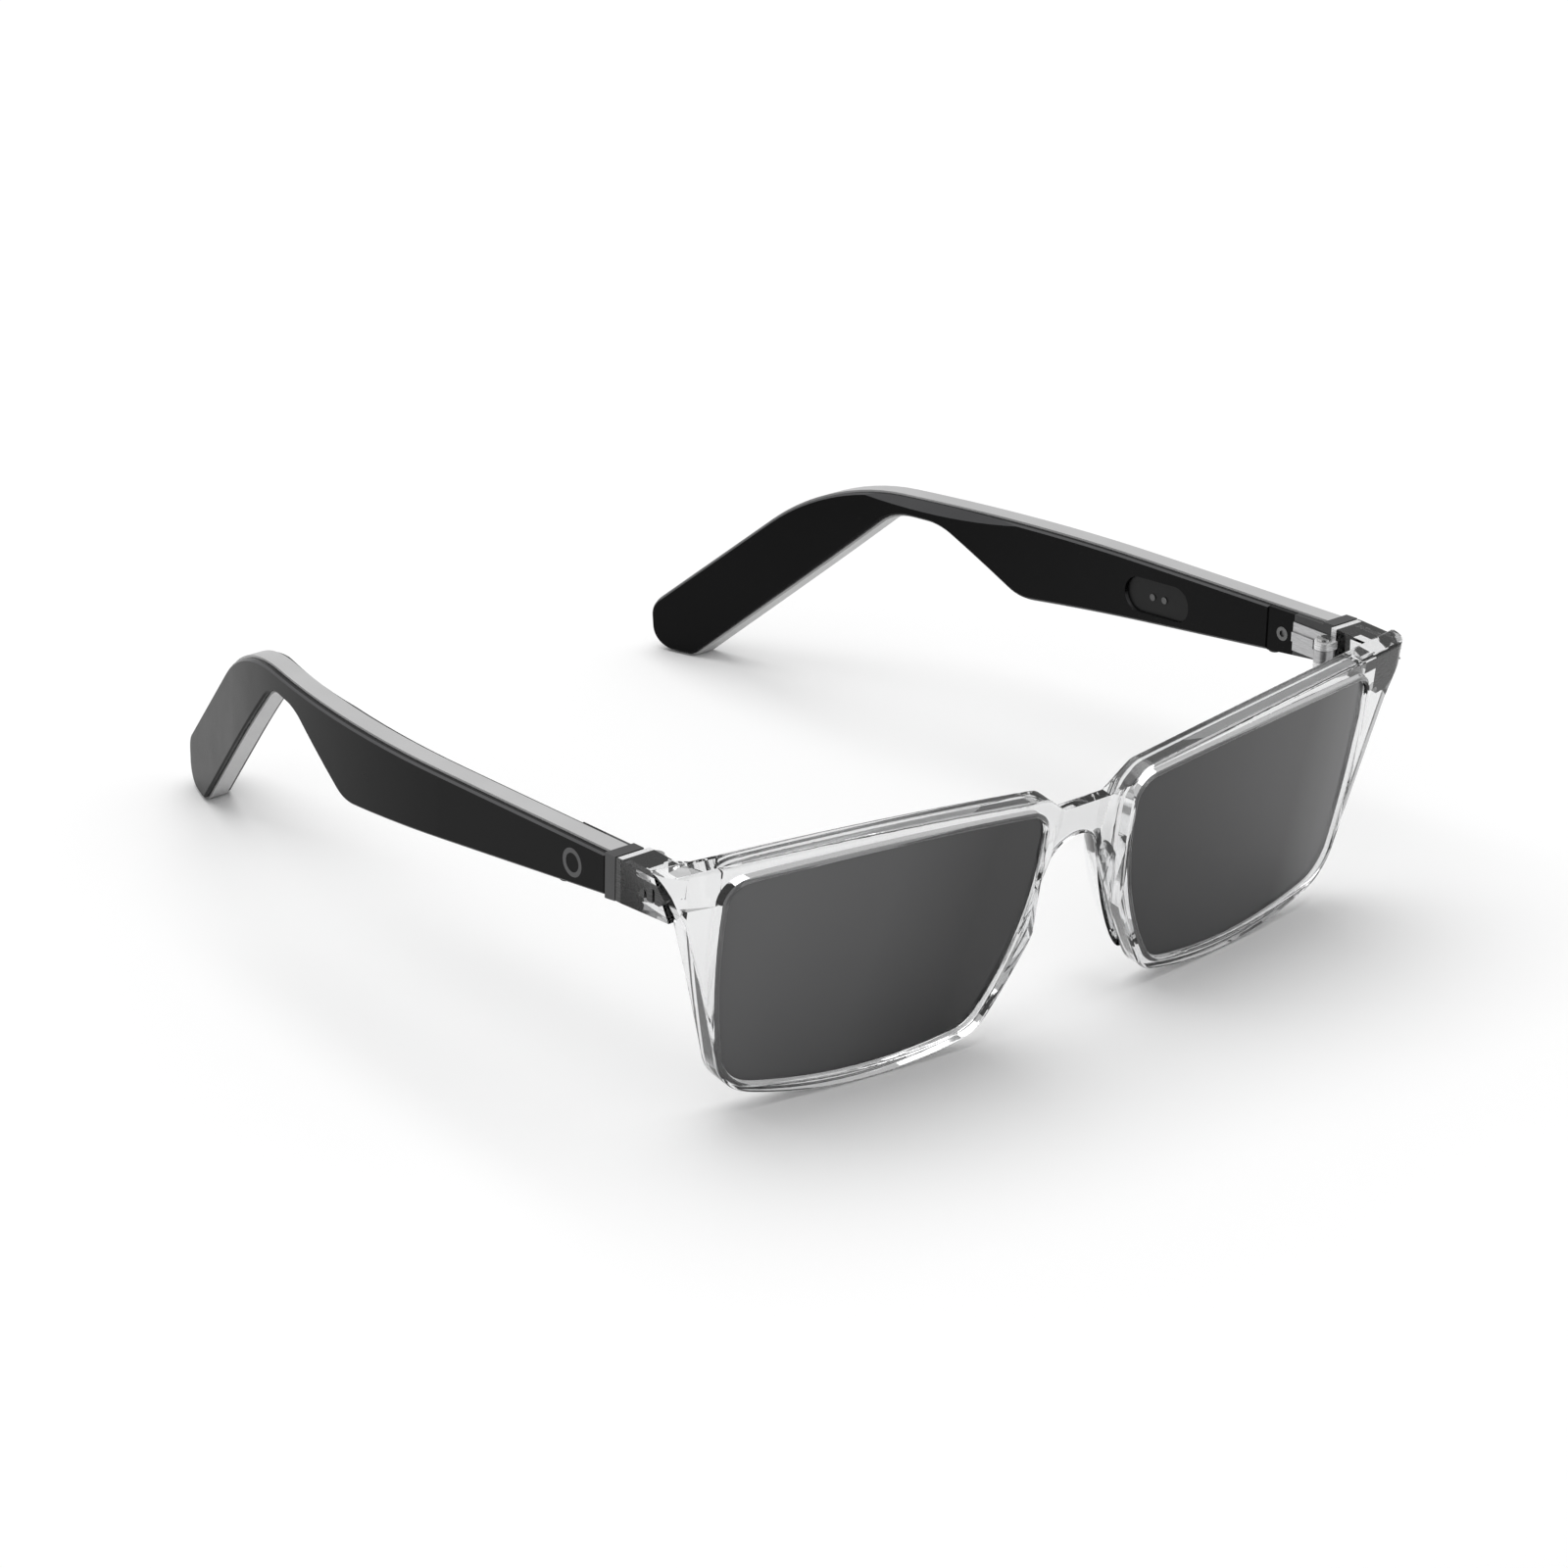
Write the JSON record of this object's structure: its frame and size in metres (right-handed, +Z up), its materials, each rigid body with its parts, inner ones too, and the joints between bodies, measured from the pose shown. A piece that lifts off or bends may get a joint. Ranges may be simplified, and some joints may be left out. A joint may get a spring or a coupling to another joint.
{
  "type": "smart glasses",
  "caption": "Clear-framed smart glasses with dark tinted lenses, folding layered temples that hold the electronics, charging pads and under-temple push buttons.",
  "frame": {"origin": "middle of the footprint, on the surface the open glasses stand on", "axes": "+Z up, the front faces -Y, the temples run toward +Y, the wearer's left side is +X"},
  "size_m": [0.144, 0.1516, 0.041],
  "materials": {
    "clear_frame": "polished clear crystal plastic",
    "lens_tint": "dark neutral grey tinted lens, polished",
    "clear_pad": "clear, smooth",
    "hinge_metal": "dark brushed stainless steel",
    "screw_metal": "bright machined steel",
    "cap_dark": "dark grey, satin gloss",
    "edge_grey": "light grey, fine satin",
    "cover_black": "black, satin gloss",
    "ring_grey": "dark grey inlay",
    "pad_black": "black, fine matt",
    "contact_metal": "plated contact",
    "magnet_metal": "nickel plated",
    "button_dark": "dark soft plastic",
    "switch_metal": "tin plated",
    "board_green": "solder resist",
    "cell_foil": "foil pouch",
    "speaker_black": "moulded black",
    "mesh_metal": "fine dark mesh",
    "mic_metal": "plated can"
  },
  "bodies": {
    "front": {"front_frame": "clear_frame", "lens_left": "lens_tint", "lens_right": "lens_tint", "nose_pad_left": "clear_pad", "nose_pad_right": "clear_pad", "hinge_front_left": "hinge_metal", "hinge_front_right": "hinge_metal", "hinge_pin_left": "screw_metal", "hinge_pin_right": "screw_metal"},
    "temple_left": {"hinge_rear_left": "hinge_metal", "end_cap_left": "cap_dark", "temple_frame_left": "edge_grey", "outer_cover_left": "cover_black", "inner_cover_left": "cover_black", "hinge_cover_left": "cover_black", "cover_screw_left": "screw_metal", "touch_ring_left": "ring_grey", "charge_pad_left": "pad_black", "charge_contacts_left": "contact_metal", "charge_magnets_left": "magnet_metal", "button_switch_left": "switch_metal", "circuit_board_left": "board_green", "battery_left": "cell_foil", "speaker_left": "speaker_black", "speaker_grille_left": "mesh_metal", "microphone_left": "mic_metal", "tip_cell_left": "cell_foil"},
    "button_left": {"button_left": "button_dark"},
    "temple_right": {"hinge_rear_right": "hinge_metal", "end_cap_right": "cap_dark", "temple_frame_right": "edge_grey", "outer_cover_right": "cover_black", "inner_cover_right": "cover_black", "hinge_cover_right": "cover_black", "cover_screw_right": "screw_metal", "touch_ring_right": "ring_grey", "charge_pad_right": "pad_black", "charge_contacts_right": "contact_metal", "charge_magnets_right": "magnet_metal", "button_switch_right": "switch_metal", "circuit_board_right": "board_green", "battery_right": "cell_foil", "speaker_right": "speaker_black", "speaker_grille_right": "mesh_metal", "microphone_right": "mic_metal", "tip_cell_right": "cell_foil"},
    "button_right": {"button_right": "button_dark"}
  },
  "joints": [
    {"name": "temple_fold_left", "type": "hinge", "parent": "front", "child": "temple_left", "pos_m": [0.0649, -0.05695, 0.0358], "axis": [0, 0, 1], "range_deg": [0, 82]},
    {"name": "button_press_left", "type": "slide", "parent": "temple_left", "child": "button_left", "axis": [0, 0, 1], "range_m": [0, 0.0004], "stiffness_N_per_m": 800, "springref_m": -0.001},
    {"name": "temple_fold_right", "type": "hinge", "parent": "front", "child": "temple_right", "pos_m": [-0.0649, -0.05695, 0.0358], "axis": [0, 0, -1], "range_deg": [0, 65]},
    {"name": "button_press_right", "type": "slide", "parent": "temple_right", "child": "button_right", "axis": [0, 0, 1], "range_m": [0, 0.0004], "stiffness_N_per_m": 800, "springref_m": -0.001}
  ]
}
